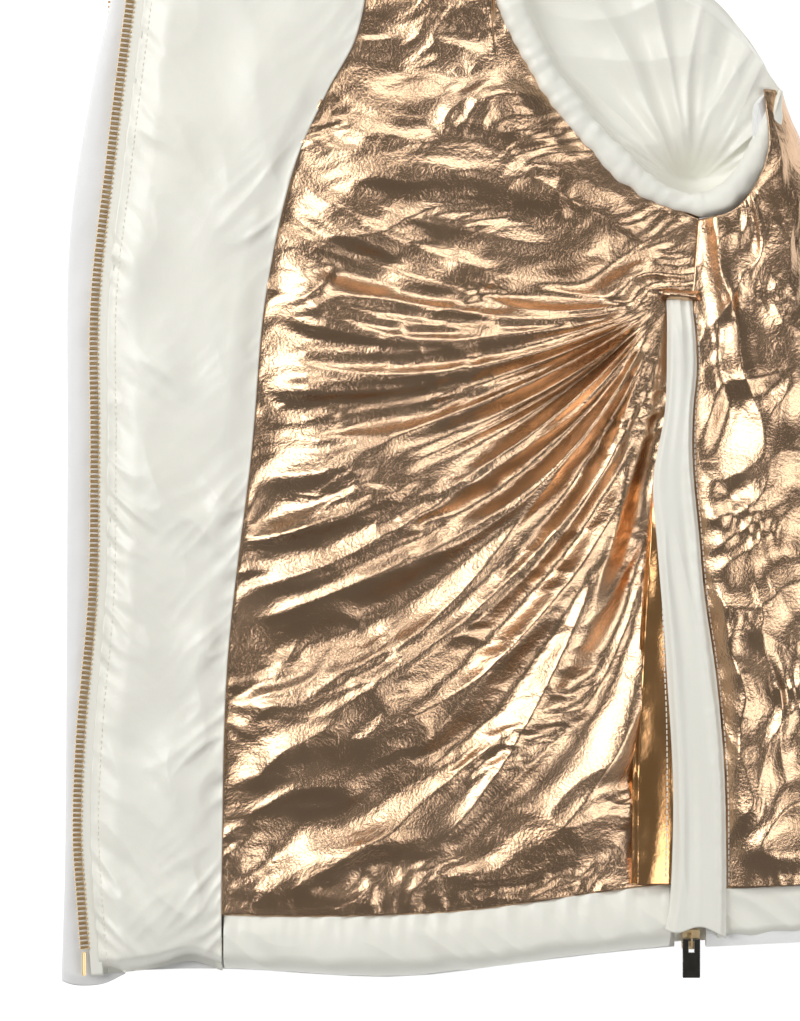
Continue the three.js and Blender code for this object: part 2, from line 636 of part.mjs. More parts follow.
// Cream strip that hides the side zip, sewn down along its right edge only.
function guard() {
  const z = TOP_Z + SEAM_GAP;
  const right = edge([1, 329], [3, 296], [1, 250], [5, 200], [13, 136], [17, 90], [18, 7]);
  const rightUp = (t) => right(1 - t);
  const hem = rightUp(0);
  const head = rightUp(1);
  const left = straight(hem.clone().setX(hem.x - GUARD_HEM_WIDTH), head.clone().setX(head.x - GUARD_TOP_WIDTH));
  const outline = [straight(left(0), hem), rightUp, straight(left(1), head), left];
  add("side_guard", panel(outline, z, GUARD, 3, 12), "cream");
}

// Smooth strip of lining stitched down along the front edge of the slit.
function slitFacing() {
  const right = SLIT_X - GUARD_TOP_WIDTH - SEAM_GAP;
  const low = onHem(right).y + liningFoot;
  const high = low + SLIT_FACING_LENGTH;
  const z = TOP_Z + SEAM_GAP + SLIT_FACING / 2;
  strip("slit_facing", "copper", SLIT_FACING_WIDTH, low, high, right - SLIT_FACING_WIDTH / 2, z, SLIT_FACING);
}

sideZip();
rightZip();
leftZip();
placket();
guard();
slitFacing();

// The origin is the middle of the coat's footprint, on the surface it lies on.
const extent = new THREE.Box3().setFromObject(coat);
coat.children.forEach((child) => {
  child.position.x -= (extent.min.x + extent.max.x) / 2;
  child.position.y -= (extent.min.y + extent.max.y) / 2;
});

export default coat;
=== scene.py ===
# %% [markdown]
# # A padded coat, folded for storage
# The coat lies folded in half lengthwise with the inside of its right front on top. The packed
# model gives every place and size; this script makes the cloth, the seams, the zips and the finishes.

# %% Load the fixed frame
import json
import math

import bmesh
import bpy
import numpy as np
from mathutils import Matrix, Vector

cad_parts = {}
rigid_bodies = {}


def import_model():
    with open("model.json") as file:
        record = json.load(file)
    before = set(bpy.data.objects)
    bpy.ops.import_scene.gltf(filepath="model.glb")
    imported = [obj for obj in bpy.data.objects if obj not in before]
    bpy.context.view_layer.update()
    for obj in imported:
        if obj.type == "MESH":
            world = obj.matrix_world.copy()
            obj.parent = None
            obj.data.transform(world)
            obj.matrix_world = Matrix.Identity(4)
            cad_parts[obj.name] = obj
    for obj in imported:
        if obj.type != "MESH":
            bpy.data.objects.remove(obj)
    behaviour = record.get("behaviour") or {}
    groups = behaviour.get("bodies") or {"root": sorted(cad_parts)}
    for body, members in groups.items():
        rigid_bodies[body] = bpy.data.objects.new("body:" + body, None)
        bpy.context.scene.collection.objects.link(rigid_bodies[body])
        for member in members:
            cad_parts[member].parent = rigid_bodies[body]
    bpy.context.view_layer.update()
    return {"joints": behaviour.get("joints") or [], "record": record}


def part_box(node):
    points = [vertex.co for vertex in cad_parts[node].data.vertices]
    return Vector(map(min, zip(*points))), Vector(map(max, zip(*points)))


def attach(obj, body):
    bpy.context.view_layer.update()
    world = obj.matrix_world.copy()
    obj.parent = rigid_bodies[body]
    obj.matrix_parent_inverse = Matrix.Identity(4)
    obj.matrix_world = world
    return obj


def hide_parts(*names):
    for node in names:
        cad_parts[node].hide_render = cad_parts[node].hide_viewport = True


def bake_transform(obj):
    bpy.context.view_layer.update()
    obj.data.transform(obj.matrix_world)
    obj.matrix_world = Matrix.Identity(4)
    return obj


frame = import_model()
MM = 0.001
scene = bpy.context.scene

# %% [markdown]
# The base pattern has its zero where the side slit meets the hem. The slider stands there, so its
# box tells where the pattern lies. All places below are millimetres on that pattern.

# %% Where the pattern lies
slider_low, slider_high = (np.array(corner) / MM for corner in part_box("side_slider"))
PATTERN_X, PATTERN_Y = (slider_low + slider_high)[:2] / 2 - (1, 2)
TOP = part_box("right_front_lining")[1][2] / MM
TURN = TOP / 2
BACK_FOLD = 8.9
INNER_TURN_Z = 18.3
print("pattern zero at", PATTERN_X, PATTERN_Y, "top of the cloth", TOP)

# %% Camera, straight above the inside of the front
VIEW_CENTRE = (-148, 221.6)
VIEW_HEIGHT = 521
CAMERA_RISE = 1500
SENSOR = 36
camera = bpy.data.objects.new("camera", bpy.data.cameras.new("camera"))
scene.collection.objects.link(camera)
camera.data.sensor_width = SENSOR
camera.data.lens = CAMERA_RISE * SENSOR / VIEW_HEIGHT
camera.location = (
    (VIEW_CENTRE[0] + PATTERN_X) * MM,
    (VIEW_CENTRE[1] + PATTERN_Y) * MM,
    (TOP + CAMERA_RISE) * MM,
)
scene.camera = camera

# %% [markdown]
# Foil shows what stands around it, so the light decides its look. Three wide soft boxes stand to
# the sides, and the air between them stays darker, which gives the foil both white and brown.

# %% Light and view
scene.view_settings.view_transform = "Standard"
world = bpy.data.worlds.new("studio air")
world.use_nodes = True
world.node_tree.nodes["Background"].inputs["Color"].default_value = (1, 1, 1, 1)
world.node_tree.nodes["Background"].inputs["Strength"].default_value = 0.17
scene.world = world


def soft_box(name, place, target, size, power):
    light = bpy.data.objects.new(name, bpy.data.lights.new(name, "AREA"))
    scene.collection.objects.link(light)
    light.data.shape = "RECTANGLE"
    light.data.size, light.data.size_y = size
    light.data.energy = power
    light.location = place
    aim = np.array(target, dtype=float) - np.array(place)
    flat = math.hypot(aim[0], aim[1])
    light.rotation_euler = (math.atan2(flat, -aim[2]), 0, math.atan2(-aim[0], aim[1]))
    return light


soft_box("left_box", (-1.5, 0.5, 1.5), (0, 0, 0), (1.0, 1.5), 30)
soft_box("right_box", (1.3, -0.7, 1.6), (0, 0, 0), (0.8, 1.4), 13)
soft_box("far_box", (0.1, 1.7, 1.5), (0, 0, 0), (1.6, 0.7), 16)


# %% [markdown]
# Shader maths reads best as ordinary sums. One small class wraps a node's output, so that
# `1 - mask` adds a Math node, and its `node` method makes any other node.

# %% Shader expressions
class Finish:
    def __init__(self, tree, output):
        self.tree = tree
        self.output = output

    def node(self, kind, inputs=None, out=0, **settings):
        made = self.tree.nodes.new(kind)
        for key, value in settings.items():
            if key == "stops":
                ramp = made.color_ramp.elements
                for element, (place, colour) in zip(ramp, value):
                    element.position, element.color = place, (*colour, 1)
            else:
                setattr(made, key, value)
        for key, value in (inputs or {}).items():
            if isinstance(value, Finish):
                self.tree.links.new(value.output, made.inputs[key])
            else:
                made.inputs[key].default_value = value
        return Finish(self.tree, made.outputs[out])

    def maths(self, operation, first, second):
        return self.node("ShaderNodeMath", {0: first, 1: second}, operation=operation)

    def __add__(self, other):
        return self.maths("ADD", self, other)

    def __radd__(self, other):
        return self.maths("ADD", other, self)

    def __sub__(self, other):
        return self.maths("SUBTRACT", self, other)

    def __rsub__(self, other):
        return self.maths("SUBTRACT", other, self)

    def __mul__(self, other):
        return self.maths("MULTIPLY", self, other)

    def __rmul__(self, other):
        return self.maths("MULTIPLY", other, self)


def material(name, metallic=0.0, sheen=0.0):
    made = bpy.data.materials.new(name)
    made.use_nodes = True
    tree = made.node_tree
    shader = tree.nodes["Principled BSDF"]
    shader.inputs["Metallic"].default_value = metallic
    shader.inputs["Sheen Weight"].default_value = sheen
    start = Finish(tree, None)
    place = start.node("ShaderNodeTexCoord", out="Object")
    return made, tree, shader, place


def noise(place, scale, detail=3.0, roughness=0.5, kind="ShaderNodeTexNoise"):
    wanted = {"Vector": place, "Scale": scale, "Detail": detail, "Roughness": roughness}
    return place.node(kind, wanted, out=0)


def ridges(place, scale, detail=3.0):
    signed = noise(place, scale, detail) * 2 - 1
    return 1 - signed.maths("ABSOLUTE", signed, 0.0)


def mixed(factor, low, high):
    return factor.node(
        "ShaderNodeMix",
        {"Factor": factor, 6: (*low, 1), 7: (*high, 1)},
        out=2,
        data_type="RGBA",
    )


def connect(tree, shader, colour=None, roughness=None, bumps=()):
    if colour is not None:
        tree.links.new(colour.output, shader.inputs["Base Color"])
    if roughness is not None:
        tree.links.new(roughness.output, shader.inputs["Roughness"])
    normal = None
    for height, strength, distance in bumps:
        inputs = {"Height": height, "Strength": strength, "Distance": distance}
        if normal is not None:
            inputs["Normal"] = normal
        normal = height.node("ShaderNodeBump", inputs)
    if normal is not None:
        tree.links.new(normal.output, shader.inputs["Normal"])


# %% [markdown]
# Foil lining is a thin metal film on cloth. It is all metal to the light, a little rough, and
# covered with a fine hammered crinkle that is too small for the mesh, so a bump makes it.

# %% Copper foil and its smoother kind
def foil(name, low, high, crinkle):
    made, tree, shader, place = material(name, metallic=1.0)
    turned = {"Vector": place, "Rotation": (0, 0, -0.4), "Scale": (0.4, 1, 1)}
    along_folds = place.node("ShaderNodeMapping", turned)
    tone = noise(place, 26, 4)
    fine = noise(place, 700, 4, 0.6)
    patches = {"Value": noise(place, 21, 2), "From Min": 0.42, "From Max": 0.62}
    crushed = place.node("ShaderNodeMapRange", patches)
    colour = mixed(tone, low, high)
    roughness = 0.12 + noise(place, 60, 3) * 0.17
    connect(tree, shader, colour, roughness, [
        (ridges(along_folds, 85, 1.5) * crushed, crinkle, 0.0011),
        (ridges(place, 230, 2) * crushed, crinkle, 0.00035),
        (fine, crinkle, 0.0005),
    ])
    return made


COPPER = foil("copper_foil", (0.55, 0.36, 0.22), (0.71, 0.49, 0.325), 0.6)
ORANGE_COPPER = foil("smooth_orange_foil", (0.66, 0.34, 0.13), (0.74, 0.43, 0.21), 0.22)


# %% Cream satin, white cloth, wadding and tape
def cloth(name, low, high, rough, sheen, weave, crease):
    made, tree, shader, place = material(name, sheen=sheen)
    tone = noise(place, 14, 3)
    threads = noise(place, 1900, 1)
    soft = noise(place, 95, 4, 0.55)
    roughness = rough + noise(place, 40, 2) * 0.1
    bumps = [(soft, crease, 0.0009), (threads, weave, 0.00012)]
    connect(tree, shader, mixed(tone, low, high), roughness, bumps)
    return made


CREAM = cloth("cream_satin", (0.82, 0.805, 0.715), (0.87, 0.86, 0.78), 0.34, 0.15, 0.25, 0.45)
WHITE = cloth("white_brushed_cloth", (0.74, 0.74, 0.735), (0.81, 0.81, 0.805), 0.85, 0.4, 0.8, 0.5)
WADDING = cloth("loose_wadding", (0.80, 0.80, 0.79), (0.88, 0.88, 0.87), 0.95, 0.3, 0.9, 0.9)
TAPE = cloth("woven_zip_tape", (0.76, 0.745, 0.66), (0.83, 0.82, 0.75), 0.7, 0.2, 0.8, 0.1)
THREAD = cloth("sewing_thread", (0.86, 0.80, 0.68), (0.92, 0.88, 0.80), 0.5, 0.2, 0.5, 0.1)


# %% Gold and dark metal
def metal(name, low, high, rough):
    made, tree, shader, place = material(name, metallic=1.0)
    tone = noise(place, 300, 3)
    scratches = noise(place, 2500, 2)
    connect(tree, shader, mixed(tone, low, high), rough + tone * 0.12, [(scratches, 0.08, 0.00005)])
    return made


GOLD = metal("gold_plate", (0.90, 0.63, 0.31), (0.97, 0.77, 0.47), 0.24)
DARK = metal("dark_plate", (0.045, 0.043, 0.038), (0.075, 0.07, 0.06), 0.26)
EDGE_METAL = metal("bright_edge", (0.6, 0.58, 0.54), (0.75, 0.73, 0.7), 0.2)


# %% [markdown]
# Cloth in folds is a height above the pattern. Smooth random hills, made from a small table of
# gradients, give every scale of wrinkle; squeezed along one direction they become streaks.

# %% Random hills, ridges and steps
HILL_TABLE = 64


def hills(x, y, seed):
    table = np.random.RandomState(seed).uniform(0, 2 * math.pi, (HILL_TABLE, HILL_TABLE))
    cell_x, cell_y = np.floor(x).astype(int), np.floor(y).astype(int)
    in_x, in_y = x - cell_x, y - cell_y
    ease_x, ease_y = in_x**3 * (in_x * (6 * in_x - 15) + 10), in_y**3 * (in_y * (6 * in_y - 15) + 10)

    def corner(step_x, step_y):
        angle = table[(cell_x + step_x) % HILL_TABLE, (cell_y + step_y) % HILL_TABLE]
        return np.cos(angle) * (in_x - step_x) + np.sin(angle) * (in_y - step_y)

    low = corner(0, 0) + (corner(1, 0) - corner(0, 0)) * ease_x
    high = corner(0, 1) + (corner(1, 1) - corner(0, 1)) * ease_x
    return (low + (high - low) * ease_y) * 1.5


def creased(x, y, seed):
    return 1 - 2 * np.abs(hills(x, y, seed))


def step(low, high, value):
    t = np.clip((value - low) / (high - low), 0, 1)
    return t * t * (3 - 2 * t)


# %% [markdown]
# A panel is cut between four edge curves. A Coons patch spreads a grid between them, and the same
# two numbers, across and along, then say how near a point is to each seam.

# %% Edge curves and panels
def curve(points, count):
    points = np.array(points, dtype=float)
    padded = np.vstack([2 * points[0] - points[1], points, 2 * points[-1] - points[-2]])
    dense = []
    for a, b, c, d in zip(padded[:-3], padded[1:-2], padded[2:-1], padded[3:]):
        t = np.linspace(0, 1, 24, endpoint=False)[:, None]
        dense.append(0.5 * (2 * b + (c - a) * t + (2 * a - 5 * b + 4 * c - d) * t**2
                            + (3 * b - a - 3 * c + d) * t**3))
    dense = np.vstack([*dense, points[-1:]])
    length = np.r_[0, np.cumsum(np.linalg.norm(np.diff(dense, axis=0), axis=1))]
    wanted = np.linspace(0, length[-1], count)
    return np.stack([np.interp(wanted, length, dense[:, i]) for i in range(dense.shape[1])], axis=1)


def coons(bottom, right, top, left):
    across, along = len(bottom), len(left)
    u = np.linspace(0, 1, across)[None, :, None]
    v = np.linspace(0, 1, along)[:, None, None]
    ruled = (1 - v) * bottom[None] + v * top[None] + (1 - u) * left[:, None] + u * right[:, None]
    corners = ((1 - u) * (1 - v) * bottom[0] + u * (1 - v) * bottom[-1]
               + (1 - u) * v * top[0] + u * v * top[-1])
    place = ruled - corners
    return place[..., 0], place[..., 1], u[..., 0] + 0 * v[..., 0], v[..., 0] + 0 * u[..., 0]


def piece(name, vertices, faces, finish, body="coat"):
    mesh = bpy.data.meshes.new(name)
    shift = np.array([PATTERN_X, PATTERN_Y, 0])
    mesh.from_pydata(((np.asarray(vertices) + shift) * MM).tolist(), [], faces)
    mesh.polygons.foreach_set("use_smooth", [True] * len(mesh.polygons))
    mesh.materials.append(finish)
    mesh.update()
    made = bpy.data.objects.new(name, mesh)
    scene.collection.objects.link(made)
    if body:
        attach(made, body)
    return made


def faces_out(made):
    shape = bmesh.new()
    shape.from_mesh(made.data)
    bmesh.ops.recalc_face_normals(shape, faces=shape.faces)
    shape.to_mesh(made.data)
    shape.free()


def grid_faces(rows, columns, start=0):
    r, c = np.meshgrid(np.arange(rows - 1), np.arange(columns - 1), indexing="ij")
    a = (start + r * columns + c).ravel()
    return np.stack([a, a + 1, a + columns + 1, a + columns], axis=1)


def sewn(name, x, y, z, under, finish, body="coat"):
    """A closed piece: a fine upper face, and a plain under face at the height `under`."""
    rows, columns = x.shape
    upper = np.stack([x, y, z], axis=-1).reshape(-1, 3)
    lower = np.stack([x, y, np.broadcast_to(under, x.shape)], axis=-1).reshape(-1, 3)
    index = np.arange(rows * columns).reshape(rows, columns)
    ring = np.r_[index[0, :-1], index[:-1, -1], index[-1, :0:-1], index[:0:-1, 0]]
    faces = grid_faces(rows, columns).tolist()
    low_ring = len(upper) + np.arange(len(ring))
    after, low_after = np.roll(ring, -1), np.roll(low_ring, -1)
    faces += np.stack([ring, low_ring, low_after, after], axis=1).tolist()
    faces.append(low_ring[::-1].tolist())
    return piece(name, np.vstack([upper, lower[ring]]), faces, finish, body)


# %% The coat's own edges, as a pattern maker would draw them
HEM = [(-304, -16), (-275, -14), (-232, -14), (-158, -18), (-117, -15), (-36, -5), (86, 5)]
FRONT_EDGE = [(-301, -16), (-304, 24), (-306, 60), (-304, 110), (-298, 180), (-297, 256),
              (-297, 326), (-289, 400), (-279, 480), (-270, 545)]
FACING_SEAM = [(-239, -14), (-239, 44), (-236, 146), (-224, 250), (-217, 328), (-203, 394),
               (-186, 434), (-170, 465), (-164, 505), (-165, 572)]
NECK = [(-270, 545), (-240, 550), (-205, 560), (-165, 572)]
SHOULDER = [(-165, 572), (-135, 561), (-105, 548)]
ARMHOLE = [(-105, 548), (-103, 515), (-100, 482), (-83, 449), (-54, 408), (-24, 383), (3, 370)]
ARMHOLE_BACK = [(3, 370), (20, 374), (34, 388), (42, 402), (47, 418), (50, 437)]
LINING_FOOT = [(-238, 15), (-199, 14), (-148, 15), (-115, 17), (-83, 21), (-50, 26), (-13, 31)]
hem_line = curve(HEM, 200)


def hem_at(x):
    return np.interp(x, hem_line[:, 0], hem_line[:, 1])


# %% [markdown]
# The lining is fuller than the wall behind it, so it falls into folds. At the top of the slit all
# the fullness is caught in one stitched bar, and long folds fan out from it towards the hem and
# the zip. Nearer the facing the folds lie flatter, and every seam gathers short puckers.

# %% Folds of the foil lining
FAN = np.array((-12, 329))
FOIL_MIDDLE, FOIL_REACH = 3.4, 10.6  # the folds stay this near their middle height


def foil_height(x, y, near_left, near_right, near_top, near_foot):
    away_x, away_y = x - FAN[0], y - FAN[1]
    reach = np.hypot(away_x, away_y)
    angle = np.degrees(np.arctan2(-away_y, -away_x)) + 9 * reach / 100
    fan = step(4, 45, reach) * (1 - step(190, 400, reach)) * step(-8, 16, angle)
    long_folds = creased(angle / 15, reach / 260 + 0.3, 11) * 8.5 + creased(angle / 7, reach / 160, 23) * 3.6
    swept_u = x * 0.93 + y * 0.36 + hills(x / 38, y / 38, 61) * 9
    swept_v = y * 0.93 - x * 0.36 + hills(x / 38, y / 38, 63) * 9
    swept = creased(swept_u / 140, swept_v / 36, 5) * 6.5 + hills(swept_u / 80, swept_v / 19, 8) * 2.8
    level = hills(x / 60, (y + 0.2 * x) / 20, 31) * 3.2 + creased(swept_u / 100, (y + 0.2 * x) / 36, 37) * 4.6
    upper = step(330, 400, y)
    folds = (long_folds - 4.4) * fan + (swept - 2.4) * (1 - 0.75 * fan) * (1 - upper) + (level - 1.7) * upper
    crinkle = creased(swept_u / 40, swept_v / 11, 3) * 1.0 + creased(swept_u / 14, swept_v / 6, 4) * 0.3
    crinkle = crinkle * (0.12 + 1.15 * step(-0.15, 0.5, hills(x / 48, y / 40, 77)))
    pucker = 0
    for distance, along in ((near_left, y), (near_right, y), (near_top, x + y), (near_foot, x)):
        uneven = 0.35 + 1.1 * step(-0.4, 0.5, hills(along / 30, distance / 50, 43))
        ripple = hills(along / 9 + 1.5 * hills(along / 40, distance / 30, 45), distance / 22, 41) * 2.1
        pucker = pucker + ripple * uneven * np.exp(-distance / 13) * step(0, 5, distance)
    seams = np.minimum(np.minimum(near_left, near_right), np.minimum(near_top, near_foot))
    swell = 3.2 * step(0, 34, seams)
    height = (folds * 1.05 + hills(x / 95, y / 80, 9) * 2.5) * step(0, 24, seams) + pucker + crinkle + swell
    share = (height - FOIL_MIDDLE) / FOIL_REACH
    return FOIL_MIDDLE + FOIL_REACH * share / (1 + share**4) ** 0.25


ACROSS, ALONG = 250, 370
side_edge = curve([(-13, 31), (-8, 120), (-7, 240), (-7, 318), (-1, 330), (3.5, 340), (6, 370)], ALONG)
top_edge = np.vstack([curve(SHOULDER, 70)[:-1], curve(ARMHOLE, ACROSS - 69)])
left_edge = curve([(-238, 15), *FACING_SEAM[1:]], ALONG)
x, y, u, v = coons(curve(LINING_FOOT, ACROSS), side_edge, top_edge, left_edge)
wide = np.abs(side_edge[:, 0] - left_edge[:, 0])[:, None]
near = [u * wide, (1 - u) * wide, (1 - v) * 360, v * 400]
height = foil_height(x, y, *near)
x = x - 1.5 * np.exp(-near[0] / 6)
lining = sewn("front_lining_foil", x, y, TOP - 1.6 + height, TOP - 9.4, COPPER)
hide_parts("right_front_lining")
print("lining spans", height.min().round(1), "to", height.max().round(1), "mm over the wall")

# %% [markdown]
# The facing and hem bands are soft satin over wadding. Stitching pulls them into short slanting
# creases beside the zip, and wide calm waves lie between.

# %% Cream facing and hem bands


def satin_height(x, y, near_left, near_right, puckering=1.0):
    busy = 0.3 + 1.4 * step(-0.5, 0.6, hills(x / 70, y / 50, 33)) * (1 - 0.75 * step(360, 470, y))
    slant = creased((y + 0.8 * x) / 13, near_left / 30, 13) * 1.9 * np.exp(-near_left / 17)
    other = creased((y - 0.8 * x) / 14, near_right / 26, 17) * 1.7 * np.exp(-near_right / 18)
    slant, other = slant * busy, other * busy
    calm = hills(x / 34, y / 44, 19) * 2.2 + creased((x + 0.6 * y) / 30, (y - x) / 90, 29) * 1.6 * busy
    edge = np.minimum(near_left, near_right)
    return (slant + other) * puckering + calm * step(0, 14, edge) + 3.2 * step(0, 16, edge)


FACING_ACROSS, FACING_ALONG = 110, 420
edge_line = curve(FRONT_EDGE, FACING_ALONG)
seam_line = curve(FACING_SEAM, FACING_ALONG)
foot = curve([(-301, -16), (-275, -13), (-255, -9), (-239, -14)], FACING_ACROSS)
x, y, u, v = coons(foot, seam_line, curve(NECK, FACING_ACROSS), edge_line)
wide = (seam_line[:, 0] - edge_line[:, 0])[:, None]
soft = satin_height(x, y, u * wide, (1 - u) * wide)
rolled = 9 * (1 - step(0, 9, v * 575))
facing = sewn("front_facing_satin", x, y, TOP - 0.5 + soft - rolled, TOP - 5, CREAM)
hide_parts("right_front_facing")


def hem_band(name, node, low, high, across, top_points, body="coat"):
    rows = 70
    upper = curve(top_points, across)
    places = np.linspace(low, high, across)
    lower = np.stack([places, hem_at(places)], axis=1)
    left = np.linspace(lower[0], upper[0], rows)
    right = np.linspace(lower[-1], upper[-1], rows)
    x, y, u, v = coons(lower, right, upper, left)
    tall = 30 * v
    drag = creased((x + 1.1 * y) / 21, y / 60, 47) * 1.2 + hills(x / 46, y / 30, 49) * 1.8
    pucker = hills(x / 6, tall / 20, 53) * 1.5 * np.exp(-(30 - tall) / 8)
    roll = 15 * (1 - np.sqrt(np.clip(1 - (1 - np.clip(tall / 11, 0, 1)) ** 2, 0, 1)))
    y = y - 2.0 * np.sin(np.pi * np.clip(tall / 20, 0, 1)) * hills(x / 30, y * 0, 57)
    z = TOP + 0.5 + drag * step(0, 10, 30 - tall) + pucker - roll + 2.2 * np.sin(np.pi * v) - 2.5 * v
    made = sewn(name, x, y, z, TOP - 16, CREAM, body)
    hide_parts(node)
    return made


hem_band("front_hem_satin", "right_front_hem_band", -238, -10, 330, LINING_FOOT[:-1] + [(-10, 31)])


# %% [markdown]
# The back is one cloth that comes round the side of the body and back under. Its grid walks the
# same way: along the top, round the turn, along the floor, round the centre fold, and up inside.

# %% Back lining and the band inside its hem


def turn_at(y):
    return 60 - 36 * (np.clip(y, 0, None) / 437) ** 3


def fold_at(y):
    return -296 + 46 * np.clip(y, 0, None) / 549


def seam_at(y):
    up_the_slit = [0, 90, 136, 178, 211, 244, 296, 322, 337, 370]
    return np.interp(y, up_the_slit, [14, 13, 9, 3, 0, -2, -1, -1, 1.8, 4.4])


def wrap_columns(counts):
    top, turn, under, fold, inner = counts
    walk = [("top", t, True) for t in np.linspace(0, 1, top, endpoint=False)]
    walk += [("turn", t, t < 0.51) for t in np.linspace(0, 1, turn)]
    walk += [("under", t, False) for t in np.linspace(0, 1, under + 2)[1:-1]]
    walk += [("fold", t, False) for t in np.linspace(0, 1, fold)]
    walk += [("third", t, False) for t in np.linspace(1, 0, inner + 2)[1:-1]]
    walk += [("inner", t, True) for t in np.linspace(0, 1, fold)]
    return walk + [("last", t, True) for t in np.linspace(1, 0, inner)[1:]]


def wrap_place(kind, t, y, depth):
    a = math.pi * t
    if kind == "top":
        return seam_at(y) + (turn_at(y) - seam_at(y)) * t, TOP - depth
    if kind == "turn":
        return turn_at(y) + (TURN - depth) * math.sin(a), TURN + (TURN - depth) * math.cos(a)
    if kind == "under":
        return turn_at(y) + (fold_at(y) - turn_at(y)) * t, depth
    if kind == "fold":
        radius = BACK_FOLD - depth
        return fold_at(y) - radius * math.sin(a), BACK_FOLD - radius * math.cos(a)
    if kind == "third":
        return turn_at(y) + (fold_at(y) - turn_at(y)) * t, 2 * BACK_FOLD - depth
    radius = 0.5 + depth
    if kind == "inner":
        return turn_at(y) + radius * math.sin(a), INNER_TURN_Z - radius * math.cos(a)
    return seam_at(y) + (turn_at(y) - seam_at(y)) * t, INNER_TURN_Z + radius


back_arm = curve(ARMHOLE_BACK, 80)
neck_line = curve(NECK, 60)


def back_top(x, over):
    if over:
        return float(np.interp(x, back_arm[:, 0], back_arm[:, 1]))
    if x < -165:
        return float(np.interp(x, neck_line[:, 0], neck_line[:, 1]))
    return float(np.interp(x, [-165, -105, 50], [572, 548, 437]))


def wrapped_cloth(name, node, counts, rows, low, high, relief, finish, depth=0.0):
    walk = wrap_columns(counts)
    vertices = np.zeros((rows, len(walk), 3))
    for c, (kind, t, over) in enumerate(walk):
        place_x = float(wrap_place(kind, t, 380.0, depth)[0])
        from_y, to_y = low(place_x), high(place_x, over)
        y = np.linspace(from_y, to_y, rows)
        x, z = wrap_place(kind, t, y, depth)
        vertices[:, c] = np.stack([x + 0 * y, y, z + 0 * y], axis=1)
    along_x = np.gradient(vertices, axis=1)
    along_y = np.gradient(vertices, axis=0)
    normal = np.cross(along_x, along_y)
    normal /= np.linalg.norm(normal, axis=2, keepdims=True)
    walked = np.r_[0, np.cumsum(np.linalg.norm(np.diff(vertices[rows // 2], axis=0), axis=1))]
    s = np.broadcast_to(walked[None], vertices.shape[:2])
    kinds = np.array([kind for kind, _, _ in walk])
    loose = np.isin(kinds, ["top", "turn"]).astype(float)
    turned = np.array([t for _, t, _ in walk])
    loose = loose * np.where(kinds == "turn", 1 - step(0.35, 0.8, turned), 1)
    lift = relief(s, vertices[..., 1], vertices) * loose[None]
    vertices = vertices + normal * lift[..., None]
    vertices[..., 2] = np.maximum(vertices[..., 2], 1.0)
    thickness = normal * 0.8
    outer, inner = vertices.reshape(-1, 3), (vertices - thickness).reshape(-1, 3)
    columns = len(walk)
    upper = grid_faces(rows, columns)
    lower = grid_faces(rows, columns, rows * columns)[:, ::-1]
    index = np.arange(rows * columns).reshape(rows, columns)
    ring = np.r_[index[0, :-1], index[:-1, -1], index[-1, :0:-1], index[:0:-1, 0]]
    after = np.roll(ring, -1)
    edge = np.stack([ring, ring + rows * columns, after + rows * columns, after], axis=1)
    faces = np.vstack([upper, lower, edge]).tolist()
    made = piece(name, np.vstack([outer, inner]), faces, finish)
    faces_out(made)
    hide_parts(node)
    return made


def back_relief(s, y, place):
    seam = np.abs(s)
    s_bent, y_bent = s + hills(s / 30, y / 36, 65) * 7, y + hills(s / 30, y / 36, 67) * 9
    streaks = creased(s_bent / 36 + y / 260, y_bent / 150, 71) * 6.5
    cross = creased((s_bent + y) / 80, (y_bent - 0.6 * s) / 30, 75) * 3.2
    streaks = streaks * (1 - 0.5 * step(10, 60, seam))
    crinkle = creased(s_bent / 12, y_bent / 34, 79) * 0.9 + creased(s_bent / 6, y_bent / 12, 81) * 0.25
    crinkle = crinkle * step(0, 5, seam) * (0.2 + 1.1 * step(-0.2, 0.5, hills(s / 34, y / 40, 85)))
    pucker = hills(y / 10, s / 30, 83) * 1.4 * np.exp(-seam / 9) * step(0, 5, seam)
    foot = y - hem_at(place[..., 0]) - 31
    arm = 1 - 0.85 * step(385, 436, y)
    folds = (streaks + cross) * 0.75 * step(0, 18, seam) * step(0, 16, foot)
    return (folds + crinkle + 4 * step(0, 22, seam)) * arm + pucker


wrapped_cloth("back_lining_foil", "back_lining", (64, 58, 26, 8, 10), 270,
              lambda x: hem_at(x) + 30, back_top, back_relief, COPPER)


def band_relief(s, y, place):
    tall = y - hem_at(place[..., 0])
    drag = creased((s + 1.1 * y) / 24, y / 60, 87) * 1.1 + hills(s / 40, y / 30, 89) * 1.4
    roll = 6 * (1 - step(0, 9, tall))
    return drag * step(0, 8, 30 - tall) + 1.5 - roll


wrapped_cloth("back_hem_satin", "back_hem_band", (90, 70, 40, 8, 12), 34,
              hem_at, lambda x, over: hem_at(x) + 30, band_relief, CREAM)

# %% [markdown]
# The armhole's edge is gathered into a soft roll. A tube follows the seam, and its radius ripples
# with many small gathers. Inside it the sleeve's lining falls away in folds to one deep pocket.

